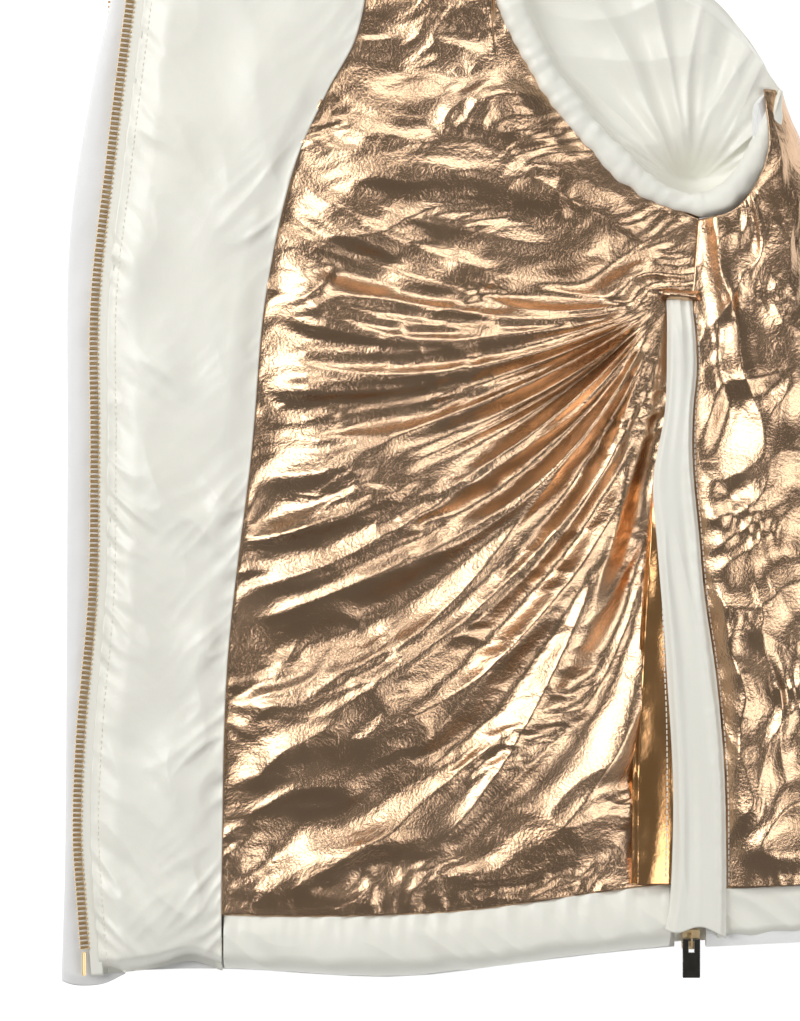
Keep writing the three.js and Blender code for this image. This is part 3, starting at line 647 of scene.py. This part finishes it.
# %% Roll round the armhole, and the lining of the sleeve's head
RIM = [(-96, 541), (-96, 515), (-93, 485), (-77, 451), (-48, 411), (-22, 388), (3, 378), (20, 383),
       (33, 398), (41, 417), (47.5, 437)]
RIM_STEPS, RIM_SIDES = 420, 22
path = curve(RIM, RIM_STEPS)
heading = np.gradient(path, axis=0)
heading /= np.linalg.norm(heading, axis=1, keepdims=True)
inward = np.stack([-heading[:, 1], heading[:, 0]], axis=1)
turns = np.linspace(0, 2 * math.pi, RIM_SIDES, endpoint=False)
run = np.linspace(0, 330, RIM_STEPS)[:, None]
around = np.cos(turns)[None]
gather = hills(run / 7, around * 0.9 + 4, 91) * 0.75 + hills(run / 24, around * 0.5, 93)
radius = (5.2 + gather + 1.4 * hills(run / 50, 0 * run, 95)) * (0.2 + 0.8 * step(0, 26, 330 - run))
side_way = around * radius * 1.25
up_way = np.sin(turns)[None] * radius * 0.85
tube = np.zeros((RIM_STEPS, RIM_SIDES, 3))
tube[..., :2] = path[:, None] + inward[:, None] * side_way[..., None]
tube[..., 2] = TOP - 2.2 + up_way - 5 * step(0.80, 1.0, run / 330)
faces = []
for r in range(RIM_STEPS - 1):
    for c in range(RIM_SIDES):
        a, b = r * RIM_SIDES + c, r * RIM_SIDES + (c + 1) % RIM_SIDES
        faces.append((a, a + RIM_SIDES, b + RIM_SIDES, b))
faces.append(tuple(range(RIM_SIDES)))
faces.append(tuple(range(RIM_STEPS * RIM_SIDES - 1, (RIM_STEPS - 1) * RIM_SIDES - 1, -1)))
rim = piece("armhole_roll_satin", tube.reshape(-1, 3), faces, CREAM)
faces_out(rim)
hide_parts("right_armhole_rim")

POCKET = np.array((2, 387))
HEAD = 220
bottom = curve(RIM[:7], HEAD)
right = curve([RIM[6], *RIM[7:]], HEAD)
top = curve([RIM[0], (-72, 540), (-40, 521), (-10, 499), (18, 481), (34, 460), RIM[10]], HEAD)
t = np.linspace(0, 1, HEAD)[:, None]
lower_rim = np.vstack([bottom, right[1:]])
lower_rim = curve(lower_rim[::12], HEAD)
x = lower_rim[:, 0][None] * (1 - t) + top[:, 0][None] * t
y = lower_rim[:, 1][None] * (1 - t) + top[:, 1][None] * t
from_x, from_y = x - POCKET[0], y - POCKET[1]
reach = np.hypot(from_x, from_y)
angle = np.degrees(np.arctan2(from_y, from_x))
gathers = creased(angle / 17, reach / 110, 97) * 3.2 + hills(angle / 8, reach / 60, 99) * 1.5
gathers = gathers + creased(x / 60, y / 35, 98) * 1.6
head_z = TOP - 3 - 11 * step(0, 0.16, t) * (1 - 0.75 * t) + gathers * step(6, 40, reach) * step(0, 0.1, t)
head_z = head_z - 15 * np.exp(-((from_x / 20) ** 2 + ((from_y - 6) / 13) ** 2)) - 9 * step(0.9, 1, t)
head = sewn("sleeve_head_satin", x, y, head_z, TOP - 36, CREAM)
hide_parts("right_sleeve_head_lining")

# %% [markdown]
# The guard is a folded strip of satin, sewn down on its right edge. It hides the side zip and hangs
# in a few long shallow pleats. It is one still piece on no body; two points beside its hinge, one
# near the seam and one on the free cloth, are worked out but not used.

# %% Guard over the side zip
GUARD_LEFT = [(-12, 329), (-12, 309), (-13, 273), (-19, 237), (-17, 204), (-14, 166), (-12, 136),
              (-9, 83), (-10, 31), (-13, 8)]
GUARD_RIGHT = [(1, 329), (3, 296), (1, 270), (1, 244), (4, 211), (7, 178), (13, 136), (17, 90),
               (18, 44), (18, 4)]
GUARD_ACROSS, GUARD_ALONG = 60, 330
guard_left = curve(GUARD_LEFT[::-1], GUARD_ALONG)
guard_right = curve(GUARD_RIGHT[::-1], GUARD_ALONG)
foot = curve([(-13, 8), (-6, 7), (5, 10), (18, 4)], GUARD_ACROSS)
x, y, u, v = coons(foot, guard_right, np.linspace(guard_left[-1], guard_right[-1], GUARD_ACROSS), guard_left)
pleat = hills(u * 2.6 + 0.4, y / 130, 101) * 2.2 + creased(u * 1.7 + y / 210, y / 160, 103) * 1.5
edge = np.minimum(u, 1 - u)
gather = hills(y / 6, u * 4, 105) * 0.7 * np.exp(-(1 - u) * 6)
z = TOP + 4.4 + pleat * step(0, 0.12, edge) + gather + 1.6 * step(0, 0.2, edge) - 4.6 * step(312, 329, y)
guard = sewn("guard_satin", x, y, z, TOP + 1.4, CREAM, None)
hinge = next(joint for joint in frame["joints"] if joint["child"] == "guard")
hinge_line = np.array(hinge["axis"][:2]) / np.hypot(*hinge["axis"][:2])
from_seam = np.array([-hinge_line[1], hinge_line[0]])
near_seam, free_cloth = (
    np.append(hinge["pos_m"][:2] + from_seam * reach, TOP * MM).tolist() for reach in (0.003, 0.017)
)
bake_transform(guard)
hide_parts("side_guard")

# %% [markdown]
# A slit tears first at its top, so a short thick welt is sewn across it there. Its section is a
# half round that runs out at both ends, with small gathers from the stitches.

# %% Welt across the top of the slit
welt_low = curve([(-15, 329.5), (-5, 328.6), (5, 328.4)], 60)
welt_high = curve([(-15, 334.5), (-5, 333.8), (5, 333.6)], 60)
x, y, u, v = coons(welt_low, curve([(5, 328.4), (5, 333.6)], 24),
                   welt_high, curve([(-15, 329.5), (-15, 334.5)], 24))
round_top = np.sqrt(np.sin(np.pi * v.clip(0.001, 0.999)))
round_ends = np.sin(np.pi * u.clip(0.02, 0.98)) ** 0.4
welt_z = TOP + 1 + 5.4 * round_top * round_ends
welt_z = welt_z + hills(x / 4, y / 9, 59) * 0.6
welt = sewn("slit_top_welt", x, y, welt_z, TOP - 1.5, COPPER)

# %% [markdown]
# Along the slit's front edge the foil is doubled and pressed flat, so it is smoother and a deeper
# orange than the lining beside it, and it has a finish of its own.

# %% Smooth strip along the slit
rows = 240
strip_left = curve([(-30, 31), (-29, 100), (-24, 180), (-19, 235)], rows)
strip_right = curve([(-9, 31), (-8, 100), (-10, 180), (-14, 235)], rows)
x, y, u, v = coons(np.linspace(strip_left[0], strip_right[0], 50), strip_right,
                   np.linspace(strip_left[-1], strip_right[-1], 50), strip_left)
bend = hills(u * 1.4, y / 38, 107) * 1.6 + hills(y / 9, u * 2, 109) * 0.7 * np.exp(-u * 4)
strip_z = TOP + 3.6 + bend * step(0, 0.1, np.minimum(u, 1 - u))
strip_z = strip_z - 2.6 * (1 - step(0, 0.16, u)) - 4 * step(0.8, 1, v)
strip = sewn("slit_facing_foil", x, y, strip_z, TOP - 3, ORANGE_COPPER)
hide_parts("slit_facing")


# %% [markdown]
# Teeth and stitches repeat along a line, so Geometry Nodes place them: the line is measured out at
# an even pitch, a small unit stands at each mark and turns with the line, and all become one mesh.

# %% A unit repeated along a line
def repeating_tree(unit, finish):
    tree = bpy.data.node_groups.new("repeat_" + unit.name, "GeometryNodeTree")
    tree.interface.new_socket(name="Line", in_out="INPUT", socket_type="NodeSocketGeometry")
    pitch = tree.interface.new_socket(name="Pitch", in_out="INPUT", socket_type="NodeSocketFloat")
    tree.interface.new_socket(name="Row", in_out="OUTPUT", socket_type="NodeSocketGeometry")
    kinds = {"source": "NodeGroupInput", "line": "GeometryNodeMeshToCurve",
             "marks": "GeometryNodeResampleCurve",
             "way": "GeometryNodeInputTangent", "turn": "FunctionNodeAlignEulerToVector",
             "unit": "GeometryNodeObjectInfo", "place": "GeometryNodeInstanceOnPoints",
             "real": "GeometryNodeRealizeInstances", "coat": "GeometryNodeSetMaterial",
             "result": "NodeGroupOutput"}
    node = {name: tree.nodes.new(kind) for name, kind in kinds.items()}
    node["marks"].mode = "LENGTH"
    node["turn"].axis = "Y"
    node["unit"].inputs["Object"].default_value = unit
    node["coat"].inputs["Material"].default_value = finish
    for out, inn in [
        (node["source"].outputs["Line"], node["line"].inputs["Mesh"]),
        (node["line"].outputs["Curve"], node["marks"].inputs["Curve"]),
        (node["source"].outputs["Pitch"], node["marks"].inputs["Length"]),
        (node["marks"].outputs["Curve"], node["place"].inputs["Points"]),
        (node["way"].outputs["Tangent"], node["turn"].inputs["Vector"]),
        (node["turn"].outputs["Rotation"], node["place"].inputs["Rotation"]),
        (node["unit"].outputs["Geometry"], node["place"].inputs["Instance"]),
        (node["place"].outputs["Instances"], node["real"].inputs["Geometry"]),
        (node["real"].outputs["Geometry"], node["coat"].inputs["Geometry"]),
        (node["coat"].outputs["Geometry"], node["result"].inputs["Row"]),
    ]:
        tree.links.new(out, inn)
    return tree, pitch.identifier


def repeated(name, points, unit, pitch, finish, body="coat"):
    places = (np.asarray(points) + (PATTERN_X, PATTERN_Y, 0)) * MM
    mesh = bpy.data.meshes.new(name + "_line")
    mesh.from_pydata(places.tolist(), [(i, i + 1) for i in range(len(places) - 1)], [])
    line = bpy.data.objects.new(name + "_line", mesh)
    scene.collection.objects.link(line)
    tree, pitch_key = repeating_tree(unit, finish)
    modifier = line.modifiers.new("repeat", "NODES")
    modifier.node_group = tree
    modifier[pitch_key] = pitch * MM
    bpy.context.view_layer.update()
    result = bpy.data.meshes.new_from_object(line.evaluated_get(bpy.context.evaluated_depsgraph_get()))
    bpy.data.objects.remove(line)
    made = bpy.data.objects.new(name, result)
    scene.collection.objects.link(made)
    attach(made, body)
    print(name, len(result.polygons), "faces")
    return made


def unit_block(name, sizes, bevel, taper=1.0):
    mesh = bpy.data.meshes.new(name)
    shape = bmesh.new()
    bmesh.ops.create_cube(shape, size=1)
    for vertex in shape.verts:
        squeeze = taper if vertex.co.x > 0 else 1
        vertex.co.x *= sizes[0] * MM
        vertex.co.y *= sizes[1] * MM * squeeze
        vertex.co.z *= sizes[2] * MM * squeeze
    bmesh.ops.bevel(shape, geom=shape.edges[:], offset=bevel * MM, segments=1, affect="EDGES")
    shape.to_mesh(mesh)
    shape.free()
    return bpy.data.objects.new(name, mesh)


# %% [markdown]
# A metal zip is a woven tape with a row of teeth clamped to its edge, all at one pitch. The tape
# follows the front's edge at a fixed distance, and the teeth stand on the same line.

# %% Zips: gold teeth on woven tape
TOOTH_PITCH = 2.5
tooth_left = unit_block("tooth_left", (5.0, 1.7, 2.5), 0.45, 0.78)
narrow_tooth = unit_block("narrow_tooth", (2.7, 1.3, 2.3), 0.28, 0.8)
front_line = curve(FRONT_EDGE, 300)
front_way = np.gradient(front_line, axis=0)
front_way /= np.linalg.norm(front_way, axis=1, keepdims=True)
front_out = np.stack([-front_way[:, 1], front_way[:, 0]], axis=1)


def beside_front(distance, z, foot=0):
    beside = front_line + front_out * distance
    heights = z + hills(beside[:, 1] / 60, beside[:, 1] * 0, 111) * 0.8
    return np.column_stack([beside, heights])[foot:]


def flat_band(name, near, far, z, node, finish, sag=0.0):
    across = np.linspace(near, far, 9)
    rows = np.stack([beside_front(d, z) for d in across], axis=1)
    rows[..., 2] -= sag * np.linspace(0, 1, 9)[None] ** 2
    made = sewn(name, rows[..., 0], rows[..., 1], rows[..., 2], z - 1.6, finish)
    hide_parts(node)
    return made


flat_band("front_zip_tape", -1.5, 4.6, TOP - 0.6, "right_zip_tape", TAPE)
teeth = repeated("front_zip_teeth", beside_front(6.8, TOP - 0.3, 8), tooth_left, TOOTH_PITCH, GOLD)
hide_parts("right_zip_teeth")


def straight_teeth(name, node):
    low, high = (np.array(corner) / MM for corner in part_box(node))
    x, z = (low[0] + high[0]) / 2 - PATTERN_X, (low[2] + high[2]) / 2
    y = np.linspace(low[1], high[1], 60) - PATTERN_Y
    row = repeated(name, np.column_stack([x + 0 * y, y, z + 0 * y]), narrow_tooth, TOOTH_PITCH, GOLD)
    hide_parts(node)


straight_teeth("left_zip_row", "left_zip_teeth")
straight_teeth("side_zip_front_row", "side_zip_front_teeth")
straight_teeth("side_zip_back_row", "side_zip_back_teeth")

# %% [markdown]
# Stitches lie on the cloth, so each line of them is first set down on the piece below by a ray
# cast straight down, and only then measured out.

# %% Stitches beside the seams
stitch = unit_block("stitch", (0.55, 2.1, 0.5), 0.14)
fine_stitch = unit_block("fine_stitch", (0.45, 1.6, 0.4), 0.1)


def stitched(name, points, unit, pitch, body="coat"):
    row = repeated(name, points, unit, pitch, THREAD, body)


def on_surface(points, piece_object, lift=0.25):
    """Points of the pattern set down on a piece's upper face."""
    placed = []
    for px, py in points:
        start = ((px + PATTERN_X) * MM, (py + PATTERN_Y) * MM, 0.2)
        hit, where, _, _ = piece_object.ray_cast(start, (0, 0, -1))
        if hit:
            placed.append((px, py, where[2] / MM + lift))
    return placed


guard_seam = curve([(p[0] + 1.6, p[1]) for p in GUARD_RIGHT[::-1]], 160)[6:-4]
back_foil = bpy.data.objects["back_lining_foil"]
stitched("guard_stitches", on_surface(guard_seam, back_foil), stitch, 2.9)
slit_bar = curve([(-15, 333), (-5, 332), (2, 331.5)], 40)
stitched("slit_bar_stitches", on_surface(slit_bar, lining), fine_stitch, 1.9)
slit_edge = curve([(-12.5, 36), (-12, 100), (-14, 160), (-15.5, 225)], 90)
stitched("slit_stitches", on_surface(slit_edge, strip), stitch, 2.9)
facing_edge = beside_front(-4, 0)[:, :2]
stitched("facing_stitches", on_surface(facing_edge, facing), fine_stitch, 3.1)


# %% [markdown]
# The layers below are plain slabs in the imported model. Each copy gets more points, a gentle wave
# that grows with its height above the floor, and a slightly uneven edge. Neighbouring layers take
# the same wave at the same place, so that they stay apart. The front's wadding is also pressed
# thinner, which leaves room for the deep folds of the lining over it.

# %% Softened layers
def merged_copy(node, name):
    made = bpy.data.objects.new(name, bpy.data.objects[node].data.copy())
    scene.collection.objects.link(made)
    shape = bmesh.new()
    shape.from_mesh(made.data)
    bmesh.ops.remove_doubles(shape, verts=shape.verts, dist=1e-6)
    return made, shape


def shared_wave(x, y):
    return hills(x / 0.085, y / 0.1, 121) * 2.6 + hills(x / 0.03, y / 0.045, 123) * 0.9


def softened(node, finish, lower=0.0, squeeze=1.0, longest=0.011):
    made, shape = merged_copy(node, node + "_soft")
    bmesh.ops.dissolve_limit(shape, angle_limit=0.002, verts=shape.verts, edges=shape.edges)
    bmesh.ops.triangulate(shape, faces=shape.faces)
    for _ in range(5):
        long_edges = [e for e in shape.edges if e.calc_length() > longest]
        if not long_edges or len(shape.faces) > 26000:
            break
        bmesh.ops.subdivide_edges(shape, edges=long_edges, cuts=1)
        bmesh.ops.triangulate(shape, faces=shape.faces)
    shape.to_mesh(made.data)
    shape.free()
    mesh = made.data
    co = np.zeros(len(mesh.vertices) * 3)
    mesh.vertices.foreach_get("co", co)
    co = co.reshape(-1, 3)
    rise = np.clip(co[:, 2] / MM / TOP, 0, 1)
    co[:, 2] = co[:, 2].min() + (co[:, 2] - co[:, 2].min()) * squeeze
    uneven = hills(co[:, 0] / 0.05, co[:, 1] / 0.04, 127) * 1.4 * MM
    co[:, 2] += (shared_wave(co[:, 0], co[:, 1]) * rise - lower) * MM * (rise > 0.05)
    co[:, 0] += uneven * rise
    mesh.vertices.foreach_set("co", co.ravel())
    mesh.materials.clear()
    mesh.materials.append(finish)
    mesh.update()
    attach(made, "coat")
    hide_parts(node)
    return made


SOFT = {
    "right_front_shell": (WHITE, "white_shell", 4.3),
    "left_front_shell": (WHITE, "white_shell", 1.5),
    "left_front_padding": (WADDING, "wadding", 1.5),
    "left_front_lining": (COPPER, "copper_lining", 1.5),
    "back_padding": (WADDING, "wadding", 0.0),
    "back_shell": (WHITE, "white_shell", 0.0),
    "collar_inner": (CREAM, "cream_satin", 0.0),
    "collar_padding": (WADDING, "wadding", 0.0),
    "collar_outer": (WHITE, "white_shell", 0.0),
    "left_sleeve_shell": (WHITE, "white_shell", 1.5),
    "left_sleeve_padding": (WADDING, "wadding", 1.5),
    "left_sleeve_lining": (CREAM, "cream_satin", 1.5),
    "left_cuff": (CREAM, "cream_satin", 1.5),
    "right_sleeve_shell": (WHITE, "white_shell", 3.0),
    "right_sleeve_padding": (WADDING, "wadding", 3.0),
    "right_sleeve_lining": (CREAM, "cream_satin", 3.0),
    "right_cuff": (CREAM, "cream_satin", 3.0),
}
for node, (finish, slot, lower) in SOFT.items():
    softened(node, finish, lower)
front_wadding = softened("right_front_padding", WADDING, 4.4, 0.3)

# %% [markdown]
# The left front's edge shows past the right front's zip as a soft white strip. It is a padded
# edge, so its outer side falls away in a quarter round.

# %% White strip past the front zip
OUTER_STRIP = [(-322, -20), (-320, 60), (-319, 240), (-318, 360), (-306, 441), (-297, 482), (-287, 545)]
STRIP_ROWS = 420
outer_line = curve(OUTER_STRIP, STRIP_ROWS)
inner_line = front_line[np.linspace(0, len(front_line) - 1, STRIP_ROWS).astype(int)] + (12, 0)
foot = curve([(-322, -20), (-312, -22), (-300, -21), tuple(inner_line[0])], 60)
head_line = np.linspace(outer_line[-1], inner_line[-1], 60)
x, y, u, v = coons(foot, inner_line, head_line, outer_line)
round_edge = 5.4 * (1 - np.sqrt(np.clip(1 - (1 - np.clip(u * 40 / 9, 0, 1)) ** 2, 0, 1)))
corner = 1.2 * (1 - step(0, 0.012, v))
strip_wave = hills(x / 30, y / 40, 131) * 1.4 + hills(x / 9, y / 12, 133) * 0.35
placket_z = TOP - 5.0 + strip_wave * step(0, 0.2, u) - round_edge - corner
placket = sewn("front_edge_white", x, y, placket_z, TOP - 12.4, WHITE)
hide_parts("left_front_placket")

# %% [markdown]
# The sliders, pulls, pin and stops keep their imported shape. A copy of each gets small bevels, so
# that its edges catch the light, and the pulls' bevels are bright where the dark plating is worn.

# %% Metal pieces


def bevelled(node, body, finish, width, edge_finish=None):
    made, shape = merged_copy(node, node + "_finished")
    bmesh.ops.dissolve_limit(shape, angle_limit=0.02, verts=shape.verts, edges=shape.edges)
    sharp = [e for e in shape.edges if len(e.link_faces) == 2 and e.calc_face_angle(0) > 0.6]
    bmesh.ops.bevel(shape, geom=sharp, offset=width * MM, segments=2, affect="EDGES",
                    clamp_overlap=True, material=1 if edge_finish else -1)
    bmesh.ops.triangulate(shape, faces=shape.faces)
    bmesh.ops.recalc_face_normals(shape, faces=shape.faces)
    made.data.materials.clear()
    made.data.materials.append(finish)
    if edge_finish:
        made.data.materials.append(edge_finish)
    for face in shape.faces:
        if not edge_finish:
            face.material_index = 0
    shape.to_mesh(made.data)
    shape.free()
    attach(made, body)
    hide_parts(node)


bevelled("side_slider", "side_slider", GOLD, 0.2)
bevelled("front_slider", "front_slider", GOLD, 0.2)
bevelled("side_pull", "side_pull", DARK, 0.22, EDGE_METAL)
bevelled("front_pull", "front_pull", DARK, 0.22, EDGE_METAL)
bevelled("zip_insertion_pin", "coat", GOLD, 0.3)
bevelled("zip_retainer_box", "coat", GOLD, 0.3)
bevelled("side_zip_top_stop", "coat", GOLD, 0.25)

FINISHES = {"copper_lining": COPPER, "cream_satin": CREAM, "white_shell": WHITE, "wadding": WADDING,
            "zip_tape": TAPE, "gold_metal": GOLD, "dark_metal": DARK}
for subpart in frame["record"]["subparts"]:
    packed = bpy.data.objects[subpart["node"]]
    packed.data.materials.clear()
    packed.data.materials.append(FINISHES[subpart["material_slot"]])


# %% [markdown]
# The cut of each foil lining and of the guard is printed: a sheet cut a little larger than the
# place it fills.

# %% Sheets
def declared_sheet(made, width, length, share):
    print(made.name, "is cut", width, "x", length, "mm, and fills", share, "of that")


declared_sheet(lining, 258, 585, 0.71)
declared_sheet(back_foil, 915, 545, 0.82)
declared_sheet(guard, 31, 325, 0.80)

# %% [markdown]
# The floor is only there for the picture. It is pale and glows a little, so that the coat stands
# on an even white ground.

# %% Floor
floor_mesh = bpy.data.meshes.new("floor")
floor_mesh.from_pydata([(-4, -4, 0), (4, -4, 0), (4, 4, 0), (-4, 4, 0)], [], [(0, 1, 2, 3)])
floor = bpy.data.objects.new("floor", floor_mesh)
scene.collection.objects.link(floor)
pale = bpy.data.materials.new("pale_floor")
pale.use_nodes = True
floor_shader = pale.node_tree.nodes["Principled BSDF"]
floor_shader.inputs["Base Color"].default_value = (0.9, 0.9, 0.9, 1)
floor_shader.inputs["Roughness"].default_value = 0.9
floor_shader.inputs["Emission Color"].default_value = (1, 1, 1, 1)
floor_shader.inputs["Emission Strength"].default_value = 0.55
floor_mesh.materials.append(pale)
